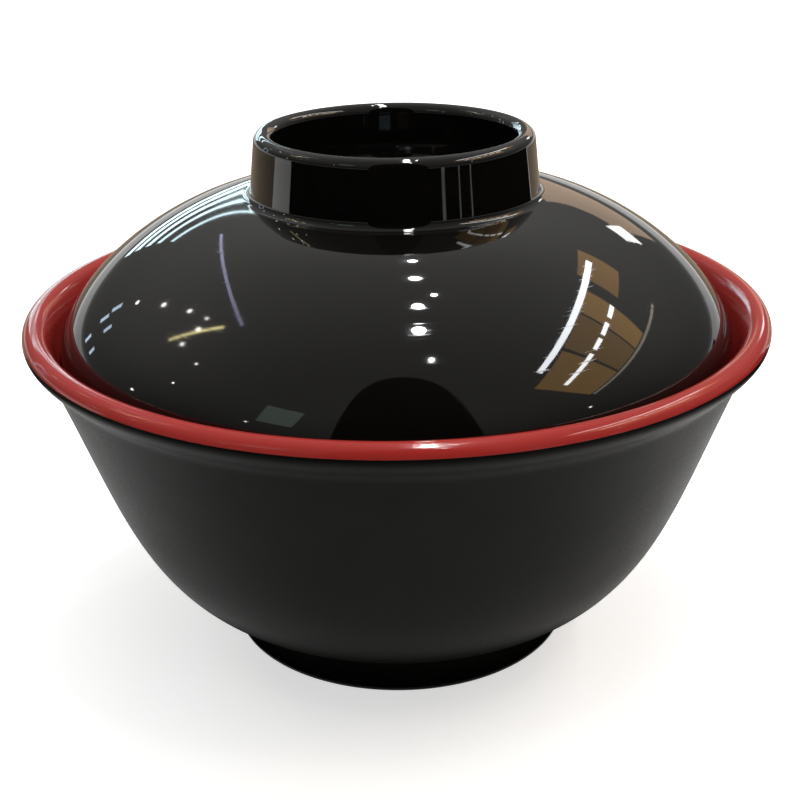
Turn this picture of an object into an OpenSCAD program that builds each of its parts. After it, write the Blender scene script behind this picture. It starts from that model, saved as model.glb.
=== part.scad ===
// Lidded soup bowl, turned about the Z axis, standing on its foot ring at z = 0.
// The bowl is a black outer shell with a red liner welded into it at the lip.
// The lid drops inside the lip, and its skirt rests on a seat well down the inside wall.

/* [Bowl] */
// Diameter over the outside of the lip
rim_d = 150; // [140:1:165]
// Height from the foot to the top of the lip
bowl_h = 71.8; // [68:0.1:82]
// Slope of the straight wall under the lip, in degrees from level
wall_a = 69; // [66:0.2:71]
// Slope of the belly where it runs onto the foot, in degrees from level
belly_a = 17; // [14:1:22]
// Reach of the straight upper wall before it rounds into the belly
wall_reach = 26.5; // [20:0.5:30]
// Reach of the low belly before it rounds into the wall
belly_reach = 19.5; // [16:0.5:23]
// Thickness of the black shell
shell_t = 1.4; // [1.2:0.1:1.6]
// Thickness of the red liner
liner_t = 1.1; // [0.9:0.1:1.3]
// Air space between shell and liner along the wall, below the lid's seat
wall_gap = 3; // [2.6:0.1:3.6]
// Air space between shell and liner at the middle of the floor
floor_gap = 5.5; // [4:0.1:7]
// Diameter of the flat middle of the floor, and of the lid's crown
floor_d = 32; // [20:1:44]

/* [Lip] */
// Radius of the rolled crest of the lip
lip_r = 2.4; // [2.1:0.1:2.8]
// How far the roll turns under on the outside, in degrees
lip_turn_a = 32; // [20:1:45]
// How far the roll turns in on the inside, in degrees
lip_in_a = 60; // [50:1:68]
// Height of the colour seam above the middle of the roll, in degrees
seam_a = 8; // [4:1:20]
// How far the lip stands out over the top of the wall
lip_overhang = 4.4; // [3.6:0.1:5]
// Height of the flared zone between the wall and the top of the lip
flare_h = 8.4; // [7.5:0.1:10.5]

/* [Seat] */
// Radius of the fillet between the wall over the seat and the seat
corner_r = 1.2; // [0.8:0.1:1.6]
// Slope of the seat under the lid's edge, in degrees from level
seat_a = 10; // [6:1:14]
// Clearance between the lid's edge and its seat
seat_gap = 0.3; // [0.1:0.05:0.5]
// How far the mouth under the seat lies inside the outside of the lip
mouth_inset = 11.6; // [11.4:0.1:12.2]
// Rounding of the seat's inner edge
nose_r = 1.2; // [0.8:0.1:1.4]

/* [Foot] */
// Diameter of the foot ring at its lower edge
foot_d = 72; // [66:0.5:76]
// How much wider the foot ring is where the belly meets it
foot_flare = 4.9; // [2:0.1:6]
// Height of the foot ring on the outside
foot_h = 9.5; // [8:0.1:10.5]
// Width of the foot ring at its lower edge
foot_w = 4; // [3:0.1:5.5]
// Depth of the recess inside the foot ring
foot_recess = 3.8; // [2.6:0.1:5]
// Rounding of the foot ring's lower edges
foot_edge_r = 0.7; // [0.3:0.1:1.2]

/* [Lid] */
// Clearance between the lid at its widest and the wall beside it, measured level
lid_gap = 0.8; // [0.6:0.1:1.2]
// How far the lid at its widest lies below the top of the lip
lid_sink = 6.2; // [5.8:0.1:6.6]
// Clearance between the lid's edge and the wall beside it
edge_gap = 0.6; // [0.4:0.1:0.8]
// Slope of the lid's skirt where it meets the edge, in degrees from upright
skirt_a = 24; // [20:1:28]
// Wall of the lid, both layers together
lid_t = 3; // [2.4:0.1:3.6]
// Thickness of the red layer inside the lid
lid_liner_t = 1.2; // [0.8:0.1:1.6]
// Height of the lid's crown above its widest
crown_h = 28.8; // [26:0.1:33]
// How far the crown rises from the grip's foot to the middle of the lid
crown_rise = 0.8; // [0.4:0.1:2]
// Slope of the dome where it leaves the grip, in degrees from level
dome_a = 6; // [3:1:14]
// Reach of the flat upper dome before it rounds over
dome_reach = 18.5; // [15:0.5:21]
// Reach of the upright side of the dome above its widest
side_reach = 9; // [7:0.5:12]

/* [Grip ring] */
// Outside diameter of the grip ring under its crest
grip_d = 55.4; // [48:0.2:62]
// Height of the grip ring above the crown inside it
grip_h = 11.9; // [8:0.1:16]
// Thickness of the grip ring at its crest
grip_w = 3.8; // [2.8:0.1:4.6]
// How much the outside of the grip widens from crest to foot
grip_flare = 2; // [0:0.1:3]
// How much the inside of the grip narrows from crest to floor
grip_draft = 1.4; // [0:0.1:2.4]
// Radius of the fillet around the outside foot of the grip
grip_fillet_r = 1.6; // [0.8:0.1:2.6]
// Radius of the fillet around the floor inside the grip
grip_floor_r = 2; // [0.8:0.1:3]

/* [Hidden] */

// Steps along one curve, along one round edge, and around the bowl
curve_steps = 20;
arc_steps = 8;
$fn = 180;

// Share of the chord that each end of a short blend reaches
blend_share = 0.4;
// Shares of the wall curve at the seat, and at the end of the throat under it
seat_share = 0.02;
throat_share = 0.15;
// Share of the throat that the back of the seat above it takes up
seat_back_share = 0.35;

// Unit step at an angle from level, and the step to the right of a direction
function heading(a) = [cos(a), sin(a)];
function right_of(v) = [v[1], -v[0]];

// Point at a known reach along heading a and a known reach along heading b
function crossing(a, reach_a, b, reach_b) =
    [reach_a * sin(b) - reach_b * sin(a), reach_b * cos(a) - reach_a * cos(b)] / sin(b - a);

// Curve that leaves p along heading a and arrives at q along heading b
function curve(p, a, reach_p, q, b, reach_q) =
    [p, p + reach_p * heading(a), q - reach_q * heading(b), q];
function blend(p, a, q, b) =
    let (reach = blend_share * norm(q - p)) curve(p, a, reach, q, b, reach);

// Point and direction of a curve at t from 0 to 1
function curve_point(c, t) =
    pow(1 - t, 3) * c[0] + 3 * pow(1 - t, 2) * t * c[1]
    + 3 * (1 - t) * pow(t, 2) * c[2] + pow(t, 3) * c[3];
function curve_heading(c, t) =
    let (v = pow(1 - t, 2) * (c[1] - c[0]) + 2 * (1 - t) * t * (c[2] - c[1])
        + pow(t, 2) * (c[3] - c[2])) v / norm(v);
// Heading of a direction that runs down and inwards, between 180 and 270 degrees
function angle_of(v) = 180 + atan2(-v[1], -v[0]);

// Points along a curve, moved to its right by a distance
function along(c, side = 0, start = 0, end = 1, steps = curve_steps) =
    [for (i = [0:steps]) let (t = start + (end - start) * i / steps)
        curve_point(c, t) + side * right_of(curve_heading(c, t))];
function arc(centre, r, a, b, steps = arc_steps) =
    [for (i = [0:steps]) centre + r * heading(a + (b - a) * i / steps)];
function backwards(path) = [for (i = [len(path) - 1:-1:0]) path[i]];
// A path without its first point, which the path before it already holds
function after(path) = [for (i = [1:len(path) - 1]) path[i]];

// Lip, wall and belly on the outside, from the lip down
lip_c = [rim_d / 2 - lip_r, bowl_h - lip_r];
wall_top = [rim_d / 2 - lip_overhang, bowl_h - flare_h];
foot_top = [(foot_d + foot_flare) / 2, foot_h];
lip_link = blend(lip_c + lip_r * heading(-lip_turn_a), -90 - lip_turn_a,
    wall_top, 180 + wall_a);
belly = curve(wall_top, 180 + wall_a, wall_reach, foot_top, 180 + belly_a, belly_reach);

// Inside of the lip, down to the wall over the seat, where liner and shell lie together
rim_t = shell_t + liner_t;
mouth_top = wall_top + rim_t * right_of(heading(180 + wall_a));
lip_slope = blend(lip_c + lip_r * heading(90 + lip_in_a), 180 + lip_in_a,
    mouth_top, 180 + wall_a);

// Seat: fillet at the foot of that wall, slope under the lid's edge, rounded nose
rim_heading = curve_heading(belly, seat_share);
rim_a = angle_of(rim_heading);
rim_n = right_of(rim_heading);
rim_end = curve_point(belly, seat_share) + rim_t * rim_n;
seat_n = heading(90 + seat_a);
seat_reach = (rim_end + corner_r * rim_heading) * seat_n;
corner_c = crossing(rim_a - 90, rim_end * rim_n + corner_r, 90 + seat_a, seat_reach + corner_r);
nose_c = crossing(0, rim_d / 2 - mouth_inset + nose_r, 90 + seat_a, seat_reach - nose_r);

// Throat from the nose down to the double wall
wall_t = rim_t + wall_gap;
throat_end_heading = curve_heading(belly, throat_share);
throat_end = curve_point(belly, throat_share) + wall_t * right_of(throat_end_heading);
throat = blend(nose_c + nose_r * rim_n, rim_a, throat_end, angle_of(throat_end_heading));

// Back of the liner under the seat, from the shell to the back of the throat
back_r = corner_r + liner_t;
seat_back_heading = curve_heading(throat, seat_back_share);
seat_back_end = curve_point(throat, seat_back_share) - liner_t * right_of(seat_back_heading);
seat_back = blend(corner_c - back_r * seat_n, 180 + seat_a,
    seat_back_end, angle_of(seat_back_heading));

// Floors of the shell and the liner, each drawn on from its own belly
shell_floor_z = foot_recess + shell_t;
floor_z = shell_floor_z + floor_gap + liner_t;
function floor_curve(side, z) =
    blend(foot_top + side * right_of(heading(180 + belly_a)), 180 + belly_a,
        [floor_d / 2, z], 180);
shell_floor = floor_curve(shell_t, shell_floor_z);
liner_floor = floor_curve(wall_t, floor_z);

// Dome of the lid, from the grip down to its widest, and the crown inside the grip
widest_z = bowl_h - lid_sink;
lid_r = mouth_top[0] + (widest_z - mouth_top[1]) / tan(wall_a) - lid_gap;
crown_z = widest_z + crown_h;
grip_foot = [(grip_d + grip_flare) / 2 + grip_fillet_r, crown_z - crown_rise];
dome = curve(grip_foot, -dome_a, dome_reach, [lid_r, widest_z], -90, side_reach);
crown = blend(grip_foot, 180 - dome_a, [floor_d / 2, crown_z], 180);

// Lid's edge: a half-round as thick as the lid's wall, over the seat, at the foot of the skirt
edge_r = lid_t / 2;
edge_c = crossing(rim_a - 90, rim_end * rim_n + edge_gap + edge_r,
    90 + seat_a, seat_reach + seat_gap + edge_r);
skirt = blend([lid_r, widest_z], -90, edge_c + edge_r * heading(-skirt_a), -90 - skirt_a);
lid_shell_t = lid_t - lid_liner_t;
// Where the seam between the lid's layers comes out of the half-round
edge_seam_a = -skirt_a - acos((edge_r - lid_shell_t) / edge_r);

// Back of the liner where the shell carries it, from the seam down to the seat
rim_land = concat(
    [lip_c + lip_r * heading(seam_a)],
    along(lip_slope, -liner_t, 0, 1, arc_steps),
    after(along(belly, shell_t, 0, seat_share, arc_steps))
);

module turned(outline) {
    rotate_extrude() polygon(outline);
}

module bowl_shell() {
    foot_r = foot_d / 2;
    foot_in_r = foot_r - foot_w;
    color([0.09, 0.09, 0.085]) turned(concat(
        [[0, foot_recess], [foot_in_r - foot_edge_r, foot_recess]],
        arc([foot_in_r - foot_edge_r, foot_recess - foot_edge_r], foot_edge_r, 90, 0),
        arc([foot_in_r + foot_edge_r, foot_edge_r], foot_edge_r, 180, 270),
        arc([foot_r - foot_edge_r, foot_edge_r], foot_edge_r, 270, 360),
        backwards(along(belly)),
        after(backwards(along(lip_link, 0, 0, 1, arc_steps))),
        after(arc(lip_c, lip_r, -lip_turn_a, seam_a)),
        after(rim_land),
        after(along(belly, shell_t, seat_share)),
        after(along(shell_floor, 0, 0, 1, arc_steps)),
        [[0, shell_floor_z]]
    ));
}

module bowl_liner() {
    color([0.55, 0.09, 0.09]) turned(concat(
        [[0, floor_z]],
        backwards(along(liner_floor, 0, 0, 1, arc_steps)),
        after(backwards(along(belly, wall_t, throat_share))),
        after(backwards(along(throat, 0, 0, 1, arc_steps))),
        after(arc(nose_c, nose_r, rim_a - 90, 90 + seat_a)),
        arc(corner_c, corner_r, seat_a - 90, rim_a - 270),
        backwards(along(belly, rim_t, 0, seat_share, arc_steps)),
        after(backwards(along(lip_slope, 0, 0, 1, arc_steps))),
        after(arc(lip_c, lip_r, 90 + lip_in_a, seam_a, 2 * arc_steps)),
        after(rim_land),
        arc(corner_c, back_r, rim_a - 270, seat_a - 90),
        after(along(seat_back, 0, 0, 1, arc_steps)),
        after(along(throat, -liner_t, seat_back_share, 1, arc_steps)),
        after(along(belly, wall_t - liner_t, throat_share)),
        after(along(liner_floor, -liner_t, 0, 1, arc_steps)),
        [[0, floor_z - liner_t]]
    ));
}

module lid_shell() {
    crest_r = grip_w / 2;
    crest_c = [grip_d / 2 - crest_r, crown_z + grip_h - crest_r];
    wall_foot = [(grip_d + grip_flare) / 2, grip_foot[1] + grip_fillet_r];
    wall_lean = atan2(crest_c[1] - wall_foot[1], grip_flare / 2);
    floor_c = [crest_c[0] - crest_r - grip_draft / 2 - grip_floor_r, crown_z + grip_floor_r];
    color([0.05, 0.05, 0.045]) turned(concat(
        [[0, crown_z]],
        arc(floor_c, grip_floor_r, 270, 360),
        arc(crest_c, crest_r, 180, 0, 2 * arc_steps),
        along(blend(wall_foot, -wall_lean, grip_foot, -dome_a), 0, 0, 1, arc_steps),
        after(along(dome)),
        after(along(skirt, 0, 0, 1, arc_steps)),
        after(arc(edge_c, edge_r, -skirt_a, edge_seam_a)),
        backwards(along(skirt, lid_shell_t, 0, 1, arc_steps)),
        after(backwards(along(dome, lid_shell_t))),
        after(along(crown, -lid_shell_t, 0, 1, arc_steps)),
        [[0, crown_z - lid_shell_t]]
    ));
}

module lid_liner() {
    color([0.55, 0.09, 0.09]) turned(concat(
        [[0, crown_z - lid_shell_t]],
        backwards(along(crown, -lid_shell_t, 0, 1, arc_steps)),
        after(along(dome, lid_shell_t)),
        after(along(skirt, lid_shell_t, 0, 1, arc_steps)),
        arc(edge_c, edge_r, edge_seam_a, -180 - skirt_a),
        after(backwards(along(skirt, lid_t, 0, 1, arc_steps))),
        after(backwards(along(dome, lid_t))),
        after(along(crown, -lid_t, 0, 1, arc_steps)),
        [[0, crown_z - lid_t]]
    ));
}

bowl_shell();
bowl_liner();
lid_shell();
lid_liner();
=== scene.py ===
"""Looks of a lidded lacquer bowl: smooth turned skins, lacquer materials, a plain studio and a camera.

Outlines are drawn in millimetres in the plane of radius and height, from the lip, wall, foot and lid sizes
below, and turned about the Z axis. Everything else is in metres."""
import math

import bpy
from mathutils import Euler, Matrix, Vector

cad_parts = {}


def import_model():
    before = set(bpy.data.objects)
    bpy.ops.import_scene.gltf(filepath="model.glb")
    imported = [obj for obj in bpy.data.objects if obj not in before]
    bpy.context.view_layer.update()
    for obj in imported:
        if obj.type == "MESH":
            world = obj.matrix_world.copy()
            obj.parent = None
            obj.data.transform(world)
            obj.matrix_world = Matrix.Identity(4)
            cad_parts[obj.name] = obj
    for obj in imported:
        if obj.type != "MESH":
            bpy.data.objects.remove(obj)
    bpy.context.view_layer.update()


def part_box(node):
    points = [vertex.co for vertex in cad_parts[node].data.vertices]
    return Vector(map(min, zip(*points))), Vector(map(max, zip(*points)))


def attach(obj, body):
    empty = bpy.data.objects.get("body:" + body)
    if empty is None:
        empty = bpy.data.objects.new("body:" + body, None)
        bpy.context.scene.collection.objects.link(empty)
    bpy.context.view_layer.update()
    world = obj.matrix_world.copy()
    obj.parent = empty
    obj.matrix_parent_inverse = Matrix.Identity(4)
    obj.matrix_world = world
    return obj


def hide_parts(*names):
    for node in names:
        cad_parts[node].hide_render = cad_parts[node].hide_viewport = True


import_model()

MM = 0.001
SEGMENTS = 288

# Sizes that the frame gives, in millimetres
rim_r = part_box("bowl_shell")[1].x / MM
bowl_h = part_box("bowl_liner")[1].z / MM
total_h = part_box("lid_shell")[1].z / MM

# Bowl
WALL_A = 69
BELLY_A = 17
WALL_REACH = 26.5
BELLY_REACH = 19.5
SHELL_T = 1.4
LINER_T = 1.1
WALL_GAP = 3
FLOOR_GAP = 5.5
FLOOR_R = 16

# Lip
LIP_R = 2.4
LIP_TURN_A = 32
LIP_IN_A = 60
SEAM_A = 8
LIP_OVERHANG = 4.4
FLARE_H = 8.4

# Seat of the lid on the inside wall
CORNER_R = 1.2
SEAT_A = 10
SEAT_GAP = 0.3
MOUTH_INSET = 11.6
NOSE_R = 1.2

# Foot
FOOT_R = 36
FOOT_FLARE = 2.45
FOOT_H = 9.5
FOOT_W = 4
FOOT_RECESS = 3.8
FOOT_EDGE_R = 0.7
FOOT_CREASE_R = 0.8

# Lid
LID_GAP = 0.8
LID_SINK = 6.2
EDGE_GAP = 0.6
SKIRT_A = 24
LID_T = 3
LID_LINER_T = 1.2
CROWN_RISE = 0.8
DOME_A = 6
DOME_REACH = 18.5
SIDE_REACH = 9

# Grip ring
GRIP_R = 27.7
GRIP_H = 11.9
GRIP_W = 3.8
GRIP_FLARE = 1
GRIP_DRAFT = 0.7
GRIP_FILLET_R = 1.6
GRIP_FLOOR_R = 2

# Hairline where two colours meet, and the small marks that moulding leaves
SEAM_R = 0.12
GATE_R = 2.2
GATE_H = 0.25
RIDGE_R = 22
RIDGE_H = 0.3
RIDGE_W = 0.9


def heading(a):
    return Vector((math.cos(math.radians(a)), math.sin(math.radians(a))))


def right_of(v):
    return Vector((v.y, -v.x))


def angle_of(v):
    """Heading of a direction that runs down and inwards, between 180 and 270 degrees."""
    return 180 + math.degrees(math.atan2(-v.y, -v.x))


def crossing(a, reach_a, b, reach_b):
    """Point at a known reach along heading a and a known reach along heading b."""
    a, b = math.radians(a), math.radians(b)
    x = reach_a * math.sin(b) - reach_b * math.sin(a)
    y = reach_b * math.cos(a) - reach_a * math.cos(b)
    return Vector((x, y)) / math.sin(b - a)


def curve(p, a, reach_p, q, b, reach_q):
    """Curve that leaves p along heading a and arrives at q along heading b."""
    return [p, p + reach_p * heading(a), q - reach_q * heading(b), q]


def blend(p, a, q, b, share=0.4):
    reach = share * (q - p).length
    return curve(p, a, reach, q, b, reach)


def curve_point(c, t):
    u = 1 - t
    return u**3 * c[0] + 3 * u**2 * t * c[1] + 3 * u * t**2 * c[2] + t**3 * c[3]


def curve_heading(c, t):
    u = 1 - t
    return (u**2 * (c[1] - c[0]) + 2 * u * t * (c[2] - c[1]) + t**2 * (c[3] - c[2])).normalized()


def along(c, side=0.0, start=0.0, end=1.0, steps=24):
    """Points along a curve, moved to its right by side."""
    ts = [start + (end - start) * i / steps for i in range(steps + 1)]
    return [curve_point(c, t) + side * right_of(curve_heading(c, t)) for t in ts]


def arc(centre, r, a, b, steps=12):
    return [centre + r * heading(a + (b - a) * i / steps) for i in range(steps + 1)]


def line(p, q, steps=1):
    return [p.lerp(q, i / steps) for i in range(steps + 1)]


def rounded(corner, before, after, r, steps=8):
    """A corner softened by a curve that starts and ends r away from it."""
    p = corner + r * (before - corner).normalized()
    q = corner + r * (after - corner).normalized()
    mid = [p, p.lerp(corner, 0.55), q.lerp(corner, 0.55), q]
    return [curve_point(mid, i / steps) for i in range(steps + 1)]


# Key points of the outlines, in millimetres: lip and outside of the bowl
lip_c = Vector((rim_r - LIP_R, bowl_h - LIP_R))
wall_top = Vector((rim_r - LIP_OVERHANG, bowl_h - FLARE_H))
foot_top = Vector((FOOT_R + FOOT_FLARE, FOOT_H))
lip_link = blend(lip_c + LIP_R * heading(-LIP_TURN_A), -90 - LIP_TURN_A, wall_top, 180 + WALL_A)
belly = curve(wall_top, 180 + WALL_A, WALL_REACH, foot_top, 180 + BELLY_A, BELLY_REACH)

# Inside of the lip, down to the wall over the seat, where liner and shell lie together
rim_t = SHELL_T + LINER_T
mouth_top = wall_top + rim_t * right_of(heading(180 + WALL_A))
lip_slope = blend(lip_c + LIP_R * heading(90 + LIP_IN_A), 180 + LIP_IN_A, mouth_top, 180 + WALL_A)

# Seat: fillet at the foot of that wall, slope under the lid's edge, rounded nose
SEAT_SHARE = 0.02
rim_v = curve_heading(belly, SEAT_SHARE)
rim_a = angle_of(rim_v)
rim_n = right_of(rim_v)
rim_end = curve_point(belly, SEAT_SHARE) + rim_t * rim_n
seat_n = heading(90 + SEAT_A)
seat_reach = (rim_end + CORNER_R * rim_v).dot(seat_n)
corner_c = crossing(rim_a - 90, rim_end.dot(rim_n) + CORNER_R, 90 + SEAT_A, seat_reach + CORNER_R)
nose_c = crossing(0, rim_r - MOUTH_INSET + NOSE_R, 90 + SEAT_A, seat_reach - NOSE_R)

# Throat from the nose down to the double wall, and the floors
THROAT_SHARE = 0.15
wall_t = rim_t + WALL_GAP
throat_end_v = curve_heading(belly, THROAT_SHARE)
throat_end = curve_point(belly, THROAT_SHARE) + wall_t * right_of(throat_end_v)
throat = blend(nose_c + NOSE_R * rim_n, rim_a, throat_end, angle_of(throat_end_v))
shell_floor_z = FOOT_RECESS + SHELL_T
floor_z = shell_floor_z + FLOOR_GAP + LINER_T

# Back of the liner: along the shell from the seam to the seat, then under the seat
SEAT_BACK_SHARE = 0.35
seam = lip_c + LIP_R * heading(SEAM_A)
back_r = CORNER_R + LINER_T
seat_back_v = curve_heading(throat, SEAT_BACK_SHARE)
seat_back_end = curve_point(throat, SEAT_BACK_SHARE) - LINER_T * right_of(seat_back_v)
seat_back = blend(corner_c - back_r * seat_n, 180 + SEAT_A, seat_back_end, angle_of(seat_back_v))
rim_land = along(lip_slope, -LINER_T, 0, 1, 8) + along(belly, SHELL_T, 0, SEAT_SHARE, 4)


def floor_curve(side, z):
    start = foot_top + side * right_of(heading(180 + BELLY_A))
    return blend(start, 180 + BELLY_A, Vector((FLOOR_R, z)), 180)


# Dome, crown, skirt and edge of the lid
widest_z = bowl_h - LID_SINK
lid_r = mouth_top.x + (widest_z - mouth_top.y) / math.tan(math.radians(WALL_A)) - LID_GAP
crown_z = total_h - GRIP_H
grip_foot = Vector((GRIP_R + GRIP_FLARE + GRIP_FILLET_R, crown_z - CROWN_RISE))
dome = curve(grip_foot, -DOME_A, DOME_REACH, Vector((lid_r, widest_z)), -90, SIDE_REACH)
crown = blend(grip_foot, 180 - DOME_A, Vector((FLOOR_R, crown_z)), 180)
edge_r = LID_T / 2
edge_c = crossing(rim_a - 90, rim_end.dot(rim_n) + EDGE_GAP + edge_r,
                  90 + SEAT_A, seat_reach + SEAT_GAP + edge_r)
skirt = blend(Vector((lid_r, widest_z)), -90, edge_c + edge_r * heading(-SKIRT_A), -90 - SKIRT_A)
lid_shell_t = LID_T - LID_LINER_T
edge_seam_a = -SKIRT_A - math.degrees(math.acos((edge_r - lid_shell_t) / edge_r))


def turned(name, parts, body, node):
    """Turns an outline that starts and ends on the Z axis. parts is a list of (points in mm, material)."""
    points, slots, materials = [], [], []
    for path, material in parts:
        if material not in materials:
            materials.append(material)
        for p in path:
            if points and (p - points[-1]).length < 1e-4:
                continue
            points.append(Vector(p))
            slots.append(materials.index(material))
    lengths = [0.0]
    for p, q in zip(points, points[1:]):
        lengths.append(lengths[-1] + (q - p).length)
    verts, rows = [], []
    for p in points:
        if p.x < 1e-6:
            rows.append([len(verts)] * SEGMENTS)
            verts.append((0, 0, p.y * MM))
            continue
        rows.append(list(range(len(verts), len(verts) + SEGMENTS)))
        for i in range(SEGMENTS):
            a = 2 * math.pi * i / SEGMENTS
            verts.append((p.x * MM * math.cos(a), p.x * MM * math.sin(a), p.y * MM))
    faces, face_slots, face_uvs = [], [], []
    for k in range(len(points) - 1):
        for i in range(SEGMENTS):
            j = (i + 1) % SEGMENTS
            corners = [(rows[k][i], i, k), (rows[k][j], i + 1, k), (rows[k + 1][j], i + 1, k + 1),
                       (rows[k + 1][i], i, k + 1)]
            kept = []
            for c in corners:
                if c[0] not in [v[0] for v in kept]:
                    kept.append(c)
            faces.append([v[0] for v in kept])
            face_slots.append(slots[k + 1])
            face_uvs.extend((v[1] / SEGMENTS, lengths[v[2]] * MM) for v in kept)
    mesh = bpy.data.meshes.new(name)
    mesh.from_pydata(verts, [], faces)
    for material in materials:
        mesh.materials.append(material)
    mesh.polygons.foreach_set("material_index", face_slots)
    uvs = mesh.uv_layers.new(name="turned")
    uvs.data.foreach_set("uv", [x for uv in face_uvs for x in uv])
    mesh.shade_smooth()
    mesh.set_sharp_from_angle(angle=math.radians(32))
    obj = bpy.data.objects.new(name, mesh)
    bpy.context.scene.collection.objects.link(obj)
    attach(obj, body)
    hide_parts(node)
    return obj


class Nodes:
    """Short forms for building one material's node tree."""

    def __init__(self, name):
        self.material = bpy.data.materials.new(name)
        self.material.use_nodes = True
        self.tree = self.material.node_tree
        self.shader = self.tree.nodes["Principled BSDF"]
        coords = self.tree.nodes.new("ShaderNodeTexCoord")
        self.object_coords = coords.outputs["Object"]
        self.turned_coords = coords.outputs["UV"]

    def link(self, a, b):
        self.tree.links.new(a, b)

    def scaled(self, coords, scale):
        node = self.tree.nodes.new("ShaderNodeMapping")
        node.inputs["Scale"].default_value = scale
        self.link(coords, node.inputs["Vector"])
        return node.outputs["Vector"]

    def noise(self, coords, scale, detail=2.0, roughness=0.5):
        node = self.tree.nodes.new("ShaderNodeTexNoise")
        node.inputs["Scale"].default_value = scale
        node.inputs["Detail"].default_value = detail
        node.inputs["Roughness"].default_value = roughness
        self.link(coords, node.inputs["Vector"])
        return node.outputs["Fac"]

    def remap(self, value, low, high, to_low=0.0, to_high=1.0):
        node = self.tree.nodes.new("ShaderNodeMapRange")
        node.inputs["From Min"].default_value = low
        node.inputs["From Max"].default_value = high
        node.inputs["To Min"].default_value = to_low
        node.inputs["To Max"].default_value = to_high
        self.link(value, node.inputs["Value"])
        return node.outputs["Result"]

    def maths(self, kind, a, b):
        node = self.tree.nodes.new("ShaderNodeMath")
        node.operation = kind
        for socket, value in zip(node.inputs, (a, b)):
            if isinstance(value, (int, float)):
                socket.default_value = value
            else:
                self.link(value, socket)
        return node.outputs["Value"]

    def tint(self, factor, dark, light):
        node = self.tree.nodes.new("ShaderNodeMix")
        node.data_type = "RGBA"
        node.inputs[6].default_value = (*dark, 1)
        node.inputs[7].default_value = (*light, 1)
        self.link(factor, node.inputs[0])
        self.link(node.outputs[2], self.shader.inputs["Base Color"])

    def roughness(self, value):
        self.link(value, self.shader.inputs["Roughness"])

    def bump(self, layers):
        """layers is a list of (height, depth in metres), the broadest first."""
        normal = None
        for height, depth in layers:
            node = self.tree.nodes.new("ShaderNodeBump")
            node.inputs["Distance"].default_value = depth
            self.link(height, node.inputs["Height"])
            if normal is not None:
                self.link(normal, node.inputs["Normal"])
            normal = node.outputs["Normal"]
        self.link(normal, self.shader.inputs["Normal"])

    def hairlines(self, lengthwise, across, low=0.62, high=0.74):
        """Faint lines that run round the piece, as wiping and polishing leave them."""
        stretched = self.scaled(self.turned_coords, (lengthwise, across, 1))
        return self.remap(self.noise(stretched, 1.0, 3.0, 0.65), low, high)

    def smudges(self, scale, low=0.52, high=0.68):
        """Broad soft patches, as handling leaves them."""
        return self.remap(self.noise(self.object_coords, scale, 3.0, 0.55), low, high)


def gloss(name, dark, light, base_rough, peel_depth, specular=0.5):
    """Polished lacquer: a deep colour under a mirror-like skin with a faint orange peel."""
    m = Nodes(name)
    m.shader.inputs["IOR"].default_value = 1.5
    m.shader.inputs["Specular IOR Level"].default_value = specular
    m.tint(m.noise(m.object_coords, 38, 2.0), dark, light)
    marks = m.hairlines(7, 2600)
    smudges = m.smudges(45)
    rough = m.maths("MULTIPLY_ADD", marks, 0.05)
    rough.node.inputs[2].default_value = base_rough
    rough = m.maths("ADD", rough, m.remap(smudges, 0, 1, 0, 0.035))
    m.roughness(rough)
    peel = m.noise(m.object_coords, 260, 1.0)
    m.bump([(peel, peel_depth), (marks, -0.0000012)])
    return m.material


def black_matt():
    """Sprayed satin black: a fine even grain, slightly rubbed patches and a warm-grey cast."""
    m = Nodes("black_matt")
    m.shader.inputs["IOR"].default_value = 1.45
    m.shader.inputs["Specular IOR Level"].default_value = 0.065
    patches = m.smudges(32, 0.4, 0.75)
    m.tint(patches, (0.0026, 0.0029, 0.0023), (0.0044, 0.0047, 0.0038))
    grain = m.noise(m.object_coords, 2600, 2.0, 0.6)
    rub = m.hairlines(5, 1500, 0.6, 0.8)
    rough = m.remap(grain, 0.3, 0.7, 0.40, 0.50)
    rough = m.maths("ADD", rough, m.remap(patches, 0, 1, 0.02, -0.03))
    rough = m.maths("ADD", rough, m.remap(rub, 0, 1, 0, -0.05))
    m.roughness(rough)
    swell = m.noise(m.object_coords, 90, 1.0)
    m.bump([(swell, 0.00003), (grain, 0.000004)])
    return m.material


def foot_edge():
    """The foot's lower edge, scuffed by tables: duller and a little paler in short strokes."""
    m = Nodes("foot_edge")
    m.shader.inputs["IOR"].default_value = 1.45
    m.shader.inputs["Specular IOR Level"].default_value = 0.15
    scuffs = m.remap(m.noise(m.scaled(m.turned_coords, (70, 900, 1)), 1.0, 4.0, 0.7), 0.5, 0.66)
    m.tint(scuffs, (0.0045, 0.0045, 0.0040), (0.040, 0.038, 0.035))
    m.roughness(m.remap(scuffs, 0, 1, 0.44, 0.62))
    m.bump([(m.noise(m.object_coords, 2400, 2.0, 0.6), 0.000006), (scuffs, -0.000008)])
    return m.material


matt = black_matt()
scuffed = foot_edge()
black = gloss("black_gloss", (0.0020, 0.0018, 0.0015), (0.0034, 0.0031, 0.0027), 0.030, 0.0000035)
red = gloss("red_gloss", (0.270, 0.0190, 0.0160), (0.315, 0.0245, 0.0200), 0.09, 0.0000045, 0.36)
lid_red = gloss("red_lid", (0.260, 0.0185, 0.0155), (0.305, 0.0240, 0.0195), 0.11, 0.0000045, 0.36)


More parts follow.
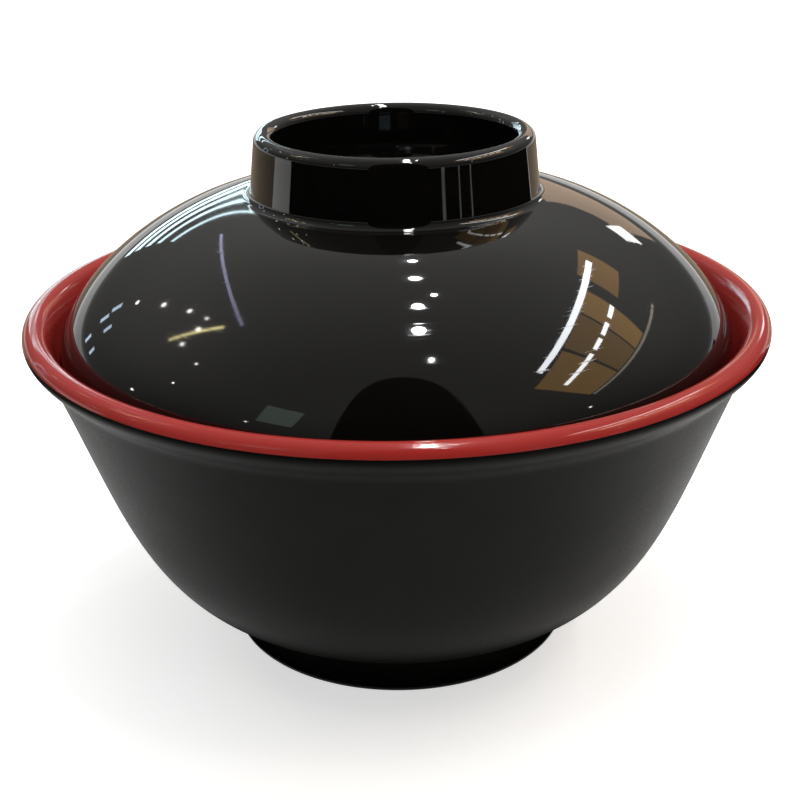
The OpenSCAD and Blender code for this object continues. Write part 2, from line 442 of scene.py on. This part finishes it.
def bowl_shell():
    foot_in_r = FOOT_R - FOOT_W
    foot_side = (foot_top - Vector((FOOT_R, FOOT_EDGE_R))).normalized()
    crease = rounded(foot_top, foot_top - foot_side, curve_point(belly, 0.97), FOOT_CREASE_R)
    recess = [
        Vector((0, FOOT_RECESS - GATE_H)),
        *arc(Vector((GATE_R - GATE_H, FOOT_RECESS)), GATE_H, -90, 0, 4),
        Vector((RIDGE_R - RIDGE_W, FOOT_RECESS)),
        *arc(Vector((RIDGE_R, FOOT_RECESS)), RIDGE_H, 180, 360, 8),
        Vector((foot_in_r - 6 * FOOT_EDGE_R, FOOT_RECESS)),
        *arc(Vector((foot_in_r - FOOT_EDGE_R, FOOT_RECESS - FOOT_EDGE_R)), FOOT_EDGE_R, 90, 0, 8),
    ]
    edge = arc(Vector((foot_in_r + FOOT_EDGE_R, FOOT_EDGE_R)), FOOT_EDGE_R, 180, 270, 8)
    edge += arc(Vector((FOOT_R - FOOT_EDGE_R, FOOT_EDGE_R)), FOOT_EDGE_R, 270, 360, 8)
    wall = line(edge[-1], crease[0], 8) + crease + along(belly, 0, 0.975, 0, 96)
    under_lip = list(reversed(along(lip_link, 0, 0, 1, 16)))
    lip = arc(lip_c, LIP_R, -LIP_TURN_A, SEAM_A - 2, 14)
    hairline = rounded(seam, lip[-1], rim_land[0], SEAM_R, 5)
    hidden = rim_land + along(belly, SHELL_T, SEAT_SHARE, 1, 24)
    hidden += [*along(floor_curve(SHELL_T, shell_floor_z), 0, 0, 1, 8), Vector((0, shell_floor_z))]
    return turned("bowl_shell_skin", [(recess, matt), (edge, scuffed), (wall, matt), (under_lip, matt),
                                      (lip, matt), (hairline, matt), (hidden, matt)],
                  "bowl", "bowl_shell")


def bowl_liner():
    inner = [Vector((0, floor_z)), *along(floor_curve(wall_t, floor_z), 0, 1, 0, 24)]
    inner += along(belly, wall_t, 1, THROAT_SHARE, 80) + along(throat, 0, 1, 0, 24)
    nose = arc(nose_c, NOSE_R, rim_a - 90, 90 + SEAT_A, 14)
    corner = arc(corner_c, CORNER_R, SEAT_A - 90, rim_a - 270, 14)
    inner += nose + line(nose[-1], corner[0], 8) + corner
    inner += along(belly, rim_t, SEAT_SHARE, 0, 16) + along(lip_slope, 0, 1, 0, 24)
    lip = arc(lip_c, LIP_R, 90 + LIP_IN_A, SEAM_A + 2, 40)
    hairline = rounded(seam, lip[-1], rim_land[0], SEAM_R, 5)
    hidden = rim_land + arc(corner_c, back_r, rim_a - 270, SEAT_A - 90, 8) + along(seat_back, 0, 0, 1, 8)
    back_t, back_z = wall_t - LINER_T, floor_z - LINER_T
    hidden += along(throat, -LINER_T, SEAT_BACK_SHARE, 1, 8) + along(belly, back_t, THROAT_SHARE, 1, 24)
    hidden += [*along(floor_curve(back_t, back_z), 0, 0, 1, 8), Vector((0, back_z))]
    return turned("bowl_liner_skin", [(inner, red), (lip, red), (hairline, red), (hidden, red)],
                  "bowl", "bowl_liner")


def lid_shell():
    crest_r = GRIP_W / 2
    crest_c = Vector((GRIP_R - crest_r, crown_z + GRIP_H - crest_r))
    wall_foot = Vector((GRIP_R + GRIP_FLARE, grip_foot.y + GRIP_FILLET_R))
    lean = math.degrees(math.atan2(crest_c.y - wall_foot.y, GRIP_FLARE))
    floor_c = Vector((crest_c.x - crest_r - GRIP_DRAFT - GRIP_FLOOR_R, crown_z + GRIP_FLOOR_R))
    top = [Vector((0, crown_z)), *arc(floor_c, GRIP_FLOOR_R, 270, 360, 14)]
    crest = arc(crest_c, crest_r, 180, 0, 36)
    top += line(top[-1], crest[0], 10) + crest + line(crest[-1], wall_foot, 12)
    top += along(blend(wall_foot, -lean, grip_foot, -DOME_A), 0, 0, 1, 14)
    top += along(dome, 0, 0, 1, 110) + along(skirt, 0, 0, 1, 24)
    top += arc(edge_c, edge_r, -SKIRT_A, edge_seam_a, 14)
    hidden = along(skirt, lid_shell_t, 1, 0, 8) + along(dome, lid_shell_t, 1, 0, 32)
    hidden += along(crown, -lid_shell_t, 0, 1, 8)
    hidden += [Vector((0, crown_z - lid_shell_t))]
    return turned("lid_shell_skin", [(top, black), (hidden, black)], "lid", "lid_shell")


def lid_liner():
    seam = edge_c + edge_r * heading(edge_seam_a)
    hidden = [Vector((0, crown_z - lid_shell_t)), *along(crown, -lid_shell_t, 1, 0, 8)]
    hidden += along(dome, lid_shell_t, 0, 1, 32) + along(skirt, lid_shell_t, 0, 1, 8)
    inner = arc(edge_c, edge_r, edge_seam_a, -180 - SKIRT_A, 10)
    inner += along(skirt, LID_T, 1, 0, 16) + along(dome, LID_T, 1, 0, 90)
    inner += [*along(crown, -LID_T, 0, 1, 16), Vector((0, crown_z - LID_T))]
    return turned("lid_liner_skin", [(hidden, lid_red), ([seam], lid_red), (inner, lid_red)],
                  "lid", "lid_liner")


bowl_shell()
bowl_liner()
lid_shell()
lid_liner()

# Studio: a pale round floor that sweeps up into a low wall all round. Angles below run from the camera's
# side towards +X, in degrees
FLOOR_RADIUS = 5
STUDIO_SIDES = 96
SWEEP_R = 0.25
SWEEP_STEPS = 16
WALL_HEIGHT = 0.35
FLOOR_LIFT = 0.6

# Height of the lamps in the ceiling, and height on the bowl that the other lamps face
CEILING_Z = 1.05
AIM_Z = 0.08

# Long ceiling lamps on the right, each from its far to its near end, with the brightness of the panels
RIGHT_TUBES = ((0.56, 0.42), (0.36, 0.22), (0.18, 0.05), (0.0, -0.42))
RIGHT_PANELS = ((0.56, 0.32, 1.3), (0.30, -0.04, 0.75), (-0.07, -0.52, 1.05))

# Bars of the window behind on the left, as height angle and height
WINDOW_BARS = ((6, 0.06), (8.8, 0.06), (12, 0.06), (15.5, 0.05), (20, 0.04))

# Round ceiling lamps, as x, y and diameter
CEILING_SPOTS = ((0.05, 0.60, 0.025), (0.06, 0.36, 0.035), (0.128, 0.20, 0.02),
                 (0.075, 0.10, 0.04), (0.083, -0.083, 0.05), (0.145, -0.30, 0.02))

# Small round lamps of the shelves, as angle, height angle and diameter
SHELF_SPOTS = ((-124, 34, 0.035), (-118, 42, 0.035), (-112, 47, 0.025), (-107, 45, 0.04),
               (-102, 40, 0.035), (-89, 41, 0.025), (-86, 30, 0.025), (-95, 14, 0.035),
               (-129, 25, 0.03), (-51, 26, 0.03), (66, 24, 0.03))

# Small bluish panes on the left, as angle and height angle
PANES = ((-125, 16), (-130, 14), (-128, 7), (-122, 8), (-131, 18))

# Cloth on the floor: gloss shows it, and nothing else does. Each piece is part of a ring, given by two
# angles, its inner and outer radius, and how high its outer edge is turned up. The first dark piece, under
# the bowl, is painted shade: a dark ring that stands in for the bowl's contact shadow as gloss sees it,
# since the floor's lift makes that shadow white in gloss. The brown one lies behind the bowl
CLOTH_Z = 0.001
CLOTH_STEP_A = 4
DARK_CLOTHS_AND_SHADE = ((-180, 180, 0.02, 0.047, 0), (-128, -88, 0.15, 0.5, 0), (-88, 36, 0.15, 1.6, 0.13),
               (38.5, 50, 0.15, 1.6, 0.13), (51, 60, 0.15, 1.6, 0.13), (61, 129, 0.15, 1.6, 0.13))
BROWN_CLOTHS = ((130, 252, 0.22, 1.3, 0),)

# Lowest and highest colour of each kind of sheet
DARK_TONES = ((0.003, 0.003, 0.003), (0.006, 0.006, 0.006))
BROWN_TONES = ((0.28, 0.23, 0.17), (0.32, 0.26, 0.20))

# Upright dark card with a rounded top, where the camera and its holder stand. Only gloss shows it
CARD_X = 0.02
CARD_Y = -0.36
CARD_HALF_WIDTH = 0.15
CARD_TOP = 0.82
CARD_STEPS = 12


def pale(name):
    """Pale paper, lifted to white for the camera and for what is seen in gloss. It keeps its shadow."""
    m = Nodes(name)
    m.tint(m.noise(m.object_coords, 2.0), (0.80, 0.80, 0.80), (0.82, 0.82, 0.82))
    m.shader.inputs["Roughness"].default_value = 0.9
    m.shader.inputs["Specular IOR Level"].default_value = 0.1
    path = m.tree.nodes.new("ShaderNodeLightPath")
    seen = m.maths("MAXIMUM", path.outputs["Is Camera Ray"], path.outputs["Is Glossy Ray"])
    seen = m.maths("MAXIMUM", seen, path.outputs["Is Transmission Ray"])
    m.shader.inputs["Emission Color"].default_value = (1, 1, 1, 1)
    m.link(m.maths("MULTIPLY", seen, FLOOR_LIFT), m.shader.inputs["Emission Strength"])
    return m.material


def studio():
    outline = [(0, 0), (FLOOR_RADIUS - SWEEP_R, 0)]
    for i in range(1, SWEEP_STEPS + 1):
        a = math.radians(90 * i / SWEEP_STEPS)
        outline.append((FLOOR_RADIUS - SWEEP_R + SWEEP_R * math.sin(a), SWEEP_R - SWEEP_R * math.cos(a)))
    outline.append((FLOOR_RADIUS, WALL_HEIGHT))
    turns = [2 * math.pi * i / STUDIO_SIDES for i in range(STUDIO_SIDES)]
    verts = [(0, 0, 0)]
    for r, z in outline[1:]:
        verts += [(r * math.cos(a), r * math.sin(a), z) for a in turns]
    after = [(i + 1) % STUDIO_SIDES for i in range(STUDIO_SIDES)]
    faces = [(0, 1 + i, 1 + j) for i, j in enumerate(after)]
    for k in range(len(outline) - 2):
        low, high = 1 + k * STUDIO_SIDES, 1 + (k + 1) * STUDIO_SIDES
        faces += [(low + i, high + i, high + j, low + j) for i, j in enumerate(after)]
    mesh = bpy.data.meshes.new("studio_floor")
    mesh.from_pydata(verts, [], faces)
    mesh.materials.append(pale("pale_paper"))
    mesh.shade_smooth()
    obj = bpy.data.objects.new("studio_floor", mesh)
    bpy.context.scene.collection.objects.link(obj)


def sheet(name, verts, faces, dark, light):
    """A matt sheet that only gloss shows. It casts no shadow and takes no light from the bowl."""
    m = Nodes(name)
    m.tint(m.noise(m.object_coords, 60.0), dark, light)
    m.shader.inputs["Roughness"].default_value = 0.95
    m.shader.inputs["Specular IOR Level"].default_value = 0.0
    mesh = bpy.data.meshes.new(name)
    mesh.from_pydata(verts, [], faces)
    mesh.materials.append(m.material)
    obj = bpy.data.objects.new(name, mesh)
    obj.visible_camera = obj.visible_diffuse = obj.visible_shadow = obj.visible_transmission = False
    bpy.context.scene.collection.objects.link(obj)


def cloth(name, pieces, dark, light):
    """Pieces of cloth, in one mesh. A piece may be painted shade instead, as the dark ring under the bowl
    is.
    """
    verts, faces = [], []
    for start, end, near, far, top in pieces:
        steps = round((end - start) / CLOTH_STEP_A)
        first = len(verts)
        for i in range(steps + 1):
            a = math.radians(start + (end - start) * i / steps)
            for r, z in ((near, 0), (far, 0), (far, top)):
                verts.append((r * math.sin(a), -r * math.cos(a), CLOTH_Z + z))
        for i in range(steps):
            k = first + 3 * i
            faces.append((k, k + 1, k + 4, k + 3))
            if top:
                faces.append((k + 1, k + 2, k + 5, k + 4))
    sheet(name, verts, faces, dark, light)


def card():
    verts = []
    for i in range(CARD_STEPS + 1):
        z = CARD_TOP * math.sin(math.radians(90 * i / CARD_STEPS))
        half = CARD_HALF_WIDTH * (1 - (z / CARD_TOP)**5)**0.5
        verts += [(CARD_X - half, CARD_Y, z), (CARD_X + half, CARD_Y, z)]
    faces = [(2 * i, 2 * i + 1, 2 * i + 3, 2 * i + 2) for i in range(CARD_STEPS)]
    sheet("dark_card", verts, faces, *DARK_TONES)


def lamp(name, place, size, watts, aim=(0, 0, AIM_Z), colour=(1, 1, 1), shape="RECTANGLE"):
    """A flat lamp that faces aim. The first size runs level, the second up and down."""
    light = bpy.data.lights.new(name, "AREA")
    light.shape = shape
    light.size, light.size_y = size
    light.energy = watts
    light.color = colour
    obj = bpy.data.objects.new(name, light)
    obj.location = place
    obj.rotation_euler = (Vector(aim) - Vector(place)).to_track_quat("-Z", "Y").to_euler()
    bpy.context.scene.collection.objects.link(obj)
    return obj


def around(azimuth, elevation, distance):
    """Place seen from the bowl at an angle from the camera's side towards +X, and at a height angle."""
    a, e = math.radians(azimuth), math.radians(elevation)
    return (distance * math.cos(e) * math.sin(a), -distance * math.cos(e) * math.cos(a),
            AIM_Z + distance * math.sin(e))


def overhead(name, x, y, size, watts, colour=(1, 1, 1), turn=0.0, shape="RECTANGLE"):
    """A flat lamp in the ceiling that faces straight down. The first size runs along Y."""
    obj = lamp(name, (x, y, CEILING_Z), size, watts, (x, y, 0), colour, shape)
    obj.rotation_euler = Euler((0, 0, math.radians(90 + turn)))
    return obj


def lights():
    """One soft fill from above that gloss doesn't show, and small lamps for what the lacquer mirrors."""
    fill = lamp("top_fill", (-0.1, -0.25, 1.6), (1.2, 1.2), 9)
    fill.visible_glossy = False
    overhead("right_strip", 0.77, 0.32, (1.3, 0.045), 3.6, (0.93, 0.96, 1), -3.5)
    for k, (far, near) in enumerate(RIGHT_TUBES, 1):
        overhead("right_tube_%d" % k, 1.03, (far + near) / 2, (far - near, 0.045), 2.8 * (far - near))
    for k, (far, near, level) in enumerate(RIGHT_PANELS, 1):
        overhead("right_panel_%d" % k, 1.14, (far + near) / 2, (far - near, 0.70),
                 3.6 * level * (far - near), (1, 0.54, 0.13))
    overhead("right_panel_far", 0.90, 0.90, (0.40, 0.34), 0.65, (1, 0.54, 0.13))
    overhead("right_frame", 1.54, 0.30, (1.6, 0.05), 0.55, (1, 0.88, 0.68))
    lamp("right_window", around(152, 17, 2.2), (0.2, 0.18), 0.6)
    lamp("right_back", around(163, 12, 2.4), (0.85, 0.44), 1.1, colour=(1, 0.70, 0.48))
    for k, (elevation, height) in enumerate(WINDOW_BARS, 1):
        lamp("window_%d" % k, around(-162, elevation, 2.2), (0.8, height), 15 * height,
             colour=(0.70, 0.93, 1))
    overhead("left_rail", -0.67, 0.86, (1.45, 0.02), 0.34, (0.66, 0.66, 1), 2)
    overhead("left_beam", -1.0, 0.28, (0.53, 0.025), 0.5, (1, 0.88, 0.40), 69)
    for k, (x, y, size) in enumerate(CEILING_SPOTS, 1):
        overhead("ceiling_%d" % k, x, y, (size, size), 900 * size * size, shape="DISK")
    for k, (azimuth, elevation, size) in enumerate(SHELF_SPOTS, 1):
        lamp("shelf_%d" % k, around(azimuth, elevation, 1.6), (size, size), 60 * size * size,
             colour=(1, 0.96, 0.88), shape="DISK")
    lamp("left_sign", around(-42, 35, 1.6), (0.32, 0.34), 0.26, colour=(0.72, 1, 0.78))
    for k, (azimuth, elevation) in enumerate(PANES, 1):
        lamp("pane_%d" % k, around(azimuth, elevation, 1.6), (0.035, 0.09), 0.05, colour=(0.62, 0.78, 1))


def faded(tree, value, low, high, to_low, to_high):
    node = tree.nodes.new("ShaderNodeMapRange")
    node.interpolation_type = "SMOOTHSTEP"
    for name, number in zip(("From Min", "From Max", "To Min", "To Max"), (low, high, to_low, to_high)):
        node.inputs[name].default_value = number
    tree.links.new(value, node.inputs["Value"])
    return node.outputs["Result"]


def world():
    """A dim room: pale along the skirting, darker above it, brighter again overhead and behind the bowl."""
    w = bpy.data.worlds.new("studio")
    w.use_nodes = True
    bpy.context.scene.world = w
    tree = w.node_tree
    back = tree.nodes["Background"]
    coords = tree.nodes.new("ShaderNodeTexCoord")
    parts = tree.nodes.new("ShaderNodeSeparateXYZ")
    tree.links.new(coords.outputs["Generated"], parts.inputs[0])
    level = tree.nodes.new("ShaderNodeMath")
    level.operation = "MAXIMUM"
    tree.links.new(faded(tree, parts.outputs["Z"], 0.0, 0.14, 0.6, 0.0), level.inputs[0])
    room = tree.nodes.new("ShaderNodeMath")
    room.operation = "MULTIPLY"
    tree.links.new(faded(tree, parts.outputs["Y"], -0.45, 0.45, 0.30, 0.54), room.inputs[0])
    tree.links.new(faded(tree, parts.outputs["Z"], 0.1, 0.75, 0.34, 1.0), room.inputs[1])
    tree.links.new(room.outputs["Value"], level.inputs[1])
    tree.links.new(level.outputs["Value"], back.inputs["Strength"])
    back.inputs["Color"].default_value = (1, 0.99, 0.96, 1)


def camera():
    """Stands in front of the bowl and a little above it, tipped down and very slightly rolled."""
    cam = bpy.data.cameras.new("camera")
    cam.sensor_width = 36
    cam.lens = 63.45
    cam.clip_start = 0.01
    obj = bpy.data.objects.new("camera", cam)
    obj.location = (0, -0.275, 0.164)
    obj.rotation_euler = Euler((math.radians(90 - 22.77), 0, math.radians(-0.1)))
    obj.rotation_euler.rotate_axis("Z", math.radians(-0.7))
    bpy.context.scene.collection.objects.link(obj)
    bpy.context.scene.camera = obj


studio()
# This mesh also holds the painted shade ring under the bowl, a stand-in for its contact shadow in gloss
cloth("dark_cloth_and_shade", DARK_CLOTHS_AND_SHADE, *DARK_TONES)
cloth("brown_cloth", BROWN_CLOTHS, *BROWN_TONES)
card()
lights()
world()
camera()
bpy.context.scene.view_settings.view_transform = "Standard"
